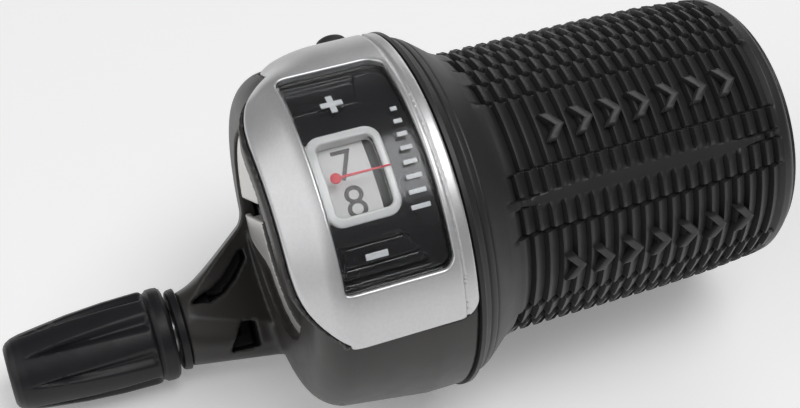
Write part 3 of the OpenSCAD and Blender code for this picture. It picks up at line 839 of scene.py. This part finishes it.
def make_small_parts():
    """The clamp band, the arm's collar, the grip's end ring and the port plug."""
    band = dress(solid("clamp_band_part", band_field, (-1.9, -20.0, -20.0), (8.6, 20.0, 20.0), 0.24),
                 "band_metal", "housing", "clamp_band")
    # painted light: the band's inner faces get the lighter bore grey
    inner_faces(band, BORE_R + 0.12)
    y, z = from_arm(BARREL_UP, BARREL_OUT)
    collar = rounded([(3.05, ARM_END - 1.2), (5.6, ARM_END - 1.2), (5.75, ARM_END), (4.2, ARM_END),
                      (4.2, -9.0), (3.05, -9.0)], [0.1, 0.45, 0.15, 0, 0.1, 0.1])
    dress(lathe("arm_collar", collar, (y, z)), "knob_plastic", "housing", "arm_ring")
    ring = rounded([(12.5, 65.2), (17.1, 65.2), (17.1, 65.6), (16.4, 65.9), (12.5, 65.9)],
                   [0, 0.1, 0.15, 0.15, 0])
    dress(lathe("grip_end_ring", ring), "ring_plastic", "housing", "end_ring")
    make_plug()


def make_plug():
    """The port plug: a short shaft with a domed head, standing out from the bar."""
    plug_profile = [(1.6, 20.6), (1.6, 23.4), (2.1, 23.4)]
    plug_profile += [(2.1 * math.cos(t), 24.0 + 1.15 * math.sin(t)) for t in np.linspace(0, math.pi / 2, 9)]
    steps = 48
    verts, faces = [], []
    radial, across = Vector(on_bar(0, PORT_ANGLE, 1)), Vector(on_bar(0, PORT_ANGLE + 90, 1))
    for i in range(steps):
        t = 2 * math.pi * i / steps
        for r, h in plug_profile:
            v = radial * h + across * (r * math.sin(t)) + Vector((PORT_X + r * math.cos(t), 0, 0))
            verts.append(tuple(v))
    m = len(plug_profile)
    for i in range(steps):
        for j in range(m - 1):
            i2 = (i + 1) % steps
            faces.append([i * m + j, i2 * m + j, i2 * m + j + 1, i * m + j + 1])
    faces.append([i * m for i in reversed(range(steps))])
    plug = mesh_object("port_plug", verts, faces, sharp_angle=40)
    dress(plug, "plug_rubber", "housing", "cable_port_plug")


# ---------------------------------------------------------------- grip

RIB_PITCH = 1.9
EDGE_STEP = 0.14  # width of the drop at a row's edge
RIB_SAMPLES = (0, 0.06, 0.12, 0.25, 0.38)  # rings after each half pitch, in pitches
SPINDLE = -23.0
ROWS = [-35.5, -24.6, -21.4, -11.5, 18.0, 28.0, 37.0, 47.5, 58.0, 68.5, 79.0, 89.5, 119.5, 130.0,
        140.0, 150.0, 160.0, 170.0, 180.0, 190.0, 200.0, 210.0, 220.0, 229.0, 239.0, 249.0, 257.0,
        267.0, 277.0, 289.0, 324.5]


GRIP_PROFILE = [(17.85, 23.8), (18.4, 23.8), (18.6, 23.3), (19.4, 22.95), (20.6, 22.5), (21.7, 21.7),
                (24.0, 19.9), (25.0, 19.45), (26.0, 19.2), (27.6, 19.15), (48.0, 19.15), (56.0, 18.95),
                (63.0, 18.4), (64.2, 18.2), (64.75, 17.8), (GRIP_END, 17.2)]  # x and radius over the ribs


def grip_relief(x, angle):
    """Depth below the crest, in millimetres: staggered rows of scale-like ribs."""
    rows = np.array(ROWS)
    row = np.clip(np.searchsorted(rows, angle, side="right") - 1, 0, len(ROWS) - 2)
    shift = np.where(row % 2 == 0, 0.0, 0.5)
    t = ((x - 26.0) / RIB_PITCH + shift + 1e-6) % 1.0
    height = np.minimum(t / 0.12, 1) * (1 - 0.8 * smooth((t - 0.2) / 0.8) ** 0.8)
    low, high = rows[row], rows[row + 1]
    # each rib ends a little slanted at its row's edge, which gives a stepped outline
    mm = math.radians(1) * 19.1
    to_low = (angle - low) * mm - 0.25 * (1 - t)
    to_high = (high - angle) * mm
    height = height * smooth(np.minimum(to_low, to_high) / EDGE_STEP)
    depth = 0.95 * (1 - height)
    # the smooth spindle between two short rows
    s = np.clip(1 - ((x - 43.0) / 17.5) ** 2, 0, 1)
    half = 1.15 * np.sqrt(s)
    from_spindle = np.abs(angle - SPINDLE) * mm
    inside = smooth((half - from_spindle) / 0.25 + 0.5)
    depth = depth * (1 - inside) + 0.35 * inside
    zone = smooth((x - np.where((row % 2) == 0, 24.6, 25.6)) / 1.2) * smooth((63.2 - x) / 0.8)
    return depth * zone


def make_grip():
    """The rubber: rings of points round the bar, closer together where its profile bends."""
    flange = [17.85, 18.1, 18.4, 18.5, 18.6, 18.9, 19.2, 19.35, 19.45, 19.55, 19.65, 19.75, 19.95, 20.2, 20.4,
              20.5, 20.6, 20.7, 20.8, 21.1, 21.4, 21.7, 22.2, 22.8, 23.4, 23.9, 24.3]
    half_pitches = np.arange(24.3 + 0.75, 63.2, RIB_PITCH / 2)
    ribs = (half_pitches[:, None] + np.array(RIB_SAMPLES)[None, :] * RIB_PITCH).ravel()
    end = [63.6, 63.9, 64.2, 64.5, 64.75, GRIP_END]
    length = np.concatenate([flange, ribs[ribs < 63.5], end])
    angle = []
    for low, high in zip(ROWS, ROWS[1:]):
        inner = np.linspace(low + 1.3, high - 0.45, max(2, round((high - low) / 1.7)))
        angle += [low, low + 0.42, low + 0.85, *inner]
    x, a = np.meshgrid(length, angle, indexing="ij")
    r = along_profile(x, GRIP_PROFILE) - grip_relief(x, a)
    # two fine grooves round the flange
    for groove in (19.55, 20.6):
        r = r - 0.16 * np.exp(-((x - groove) / 0.12) ** 2)
    outer = on_bar(x, a, r)
    inner_x = np.array([GRIP_END, 18.9, 18.9, 17.85])
    inner_r = np.array([GRIP_CORE_R, GRIP_CORE_R, 22.6, 22.6])
    ix, ia = np.meshgrid(inner_x, angle, indexing="ij")
    inner = on_bar(ix, ia, np.repeat(inner_r[:, None], len(angle), 1))
    rings = np.concatenate([outer, inner])
    grip = mesh_object("grip_sleeve", rings.reshape(-1, 3), closed_grid(*rings.shape[:2]), sharp_angle=50)
    dress(grip, "grip_rubber", "grip", "grip_rubber")
    make_grip_marks()


def make_grip_marks():
    """Raised chevrons on the two wide panels."""
    height, stroke, reach = 3.7, 1.3, 1.6
    count, spacing, r_arc = 7, 4.0, 19.6
    panels = [(2.0, 31.5), (-53.0, 31.0)]  # angle of the row, and where it starts
    for number, (centre, start) in enumerate(panels):
        shapes = []
        for k in range(count):
            x = start + spacing * k
            s = math.radians(centre) * r_arc
            shapes.append([(x, s - height / 2), (x + stroke, s - height / 2), (x + stroke + reach, s),
                           (x + stroke, s + height / 2), (x, s + height / 2), (x + reach, s)])
        marks = patch(f"grip_marks_{number}", shapes, 18.3, 19.75, bevel=0.2)
        dress(marks, "grip_rubber", "grip")


# ---------------------------------------------------------------- adjuster knob

def make_knob():
    """The adjuster's knob: a flared collar, then tear-drop flutes that fade out at the tip."""
    out, tip = KNOB_OUT, KNOB_TIP
    profile = [(tip, 3.75), (tip + 0.15, 4.1), (tip + 0.5, 4.5), (tip + 1.2, 4.9), (tip + 2.4, 5.2),
               (out - 17.0, 5.55), (out - 13.0, 6.05), (out - 8.0, 6.4), (out - 3.2, 6.5), (out - 2.8, 6.4),
               (out - 2.45, 6.05), (out - 2.2, 6.2), (out - 1.9, 6.45), (out - 1.1, 6.5), (out - 0.5, 6.42),
               (out - 0.12, 6.1), (out, 5.7)]
    x = np.concatenate([np.linspace(tip, tip + 2, 22), np.linspace(tip + 2.15, out - 2.8, 70),
                        np.linspace(out - 2.7, out, 40)])
    turn = np.linspace(0, 360, 192, endpoint=False)
    gx, gt = np.meshgrid(x, turn, indexing="ij")
    r = along_profile(gx, profile)
    # flutes widen from the tip to the collar and fade out at both ends
    flute_tip, flute_end = tip + 1.6, out - 3.2
    along = np.clip((gx - flute_tip) / (flute_end - flute_tip), 0, 1)
    half = 0.62 * along ** 0.7
    phase = np.abs(((gt / (360 / FLUTES)) % 1) - 0.5) * 2
    flute = 1 - smooth(phase / np.maximum(half, 0.01))
    ends = smooth((gx - flute_tip) / 6.0) * smooth((out - 2.75 - gx) / 0.6)
    r = r - FLUTE_DEPTH * flute * ends
    y0, z0 = from_arm(BARREL_UP, BARREL_OUT)
    a = np.radians(gt)
    outer = np.stack([gx, y0 + r * np.cos(a), z0 + r * np.sin(a)], -1)
    # the bore: the spring's pocket, the screw's hole and the casing seat's, from the collar to the tip
    bore = [(out, 4.9), (out - 4.7, 4.9), (out - 4.7, 3.0), (out - 14.4, 3.0), (out - 14.4, 3.3),
            (tip + 0.15, 3.3), (tip, 3.45)]
    bore_x, bore_r = np.array(bore).T
    bx, ba = np.meshgrid(bore_x, np.radians(turn), indexing="ij")
    br = np.repeat(bore_r[:, None], len(turn), 1)
    inner = np.stack([bx, y0 + br * np.cos(ba), z0 + br * np.sin(ba)], -1)
    rings = np.concatenate([outer, inner])
    knob = mesh_object("adjuster_knob", rings.reshape(-1, 3), closed_grid(*rings.shape[:2], flip=True),
                       sharp_angle=45)
    dress(knob, "knob_plastic", "adjuster", "barrel_knob")


# ---------------------------------------------------------------- carried-over CAD nodes

def dress_cad():
    """Gives the CAD objects that still show the scene's materials, by their slots in the record."""
    slots = {s["node"]: s["material_slot"] for s in frame["record"]["subparts"]}
    for name, obj in frame["nodes"].items():
        if not obj.hide_render:
            obj.data.materials.clear()
            obj.data.materials.append(MATERIALS[slots[name]])


# ---------------------------------------------------------------- stage

FLOOR_HALF = 3.0  # metres, as are the lights' places and sizes
LIGHTS = [  # name, place, size, power
    ("overhead", (0.21, -0.23, 0.74), (0.60, 0.42), 3.3),
    ("left", (-0.60, -0.06, 0.42), (0.90, 0.65), 2.1),
    ("back", (0.45, 0.55, 0.30), (0.5, 0.3), 0.7),
]
LIGHT_TARGET = (0.01, 0, 0)


def area(name, position, size, power):
    """A rectangular light that looks at the part."""
    light = bpy.data.lights.new(name, "AREA")
    light.shape = "RECTANGLE"
    light.size, light.size_y = size
    light.energy = power
    obj = bpy.data.objects.new(name, light)
    obj.location = position
    obj.rotation_euler = (Vector(LIGHT_TARGET) - Vector(position)).to_track_quat("-Z", "Y").to_euler()
    bpy.context.collection.objects.link(obj)


def make_stage():
    """The floor, a dim white world and the lights."""
    corners = np.array([(-1, -1, 0), (1, -1, 0), (1, 1, 0), (-1, 1, 0)]) * FLOOR_HALF
    floor = mesh_object("floor", corners / MM, [[0, 1, 2, 3]])
    floor.location.z = cad_box[0].z - 0.0005
    glow = {"Emission Color": (1, 1, 1, 1), "Emission Strength": 0.20}
    floor.data.materials.append(material("floor_white", (0.93, 0.93, 0.93), 0.7, vary=0.01, vary_scale=3,
                                         sockets=glow))
    world = bpy.data.worlds.new("studio")
    bpy.context.scene.world = world
    world.use_nodes = True
    background = world.node_tree.nodes["Background"]
    background.inputs[0].default_value = (1, 1, 1, 1)
    background.inputs[1].default_value = 0.15
    for light in LIGHTS:
        area(*light)


def make_camera():
    """The photograph's viewing angle: 21 degrees from the left, 43.5 degrees above the bar."""
    a, e = math.radians(-21.3), math.radians(43.5)
    back = Vector((math.sin(a) * math.cos(e), -math.cos(a) * math.cos(e), math.sin(e)))
    right = Vector((math.cos(a), math.sin(a), 0))
    up = back.cross(right)
    target = Vector((PARTING, 0, 0)) - 1.04 * right + 0.85 * up  # millimetres, as is the distance
    distance = 186.0
    data = bpy.data.cameras.new("camera")
    data.lens = 63.45
    data.clip_start, data.clip_end = 0.01, 10
    camera = bpy.data.objects.new("camera", data)
    camera.location = (target + distance * back) * MM
    camera.rotation_mode = "QUATERNION"
    camera.rotation_quaternion = Matrix((right, up, back)).transposed().to_quaternion()
    bpy.context.collection.objects.link(camera)
    bpy.context.scene.camera = camera


make_stage()
make_camera()
make_housing()
make_cover()
make_display()
make_drum()
make_small_parts()
make_grip()
make_knob()
dress_cad()
bpy.context.scene.view_settings.view_transform = "Standard"
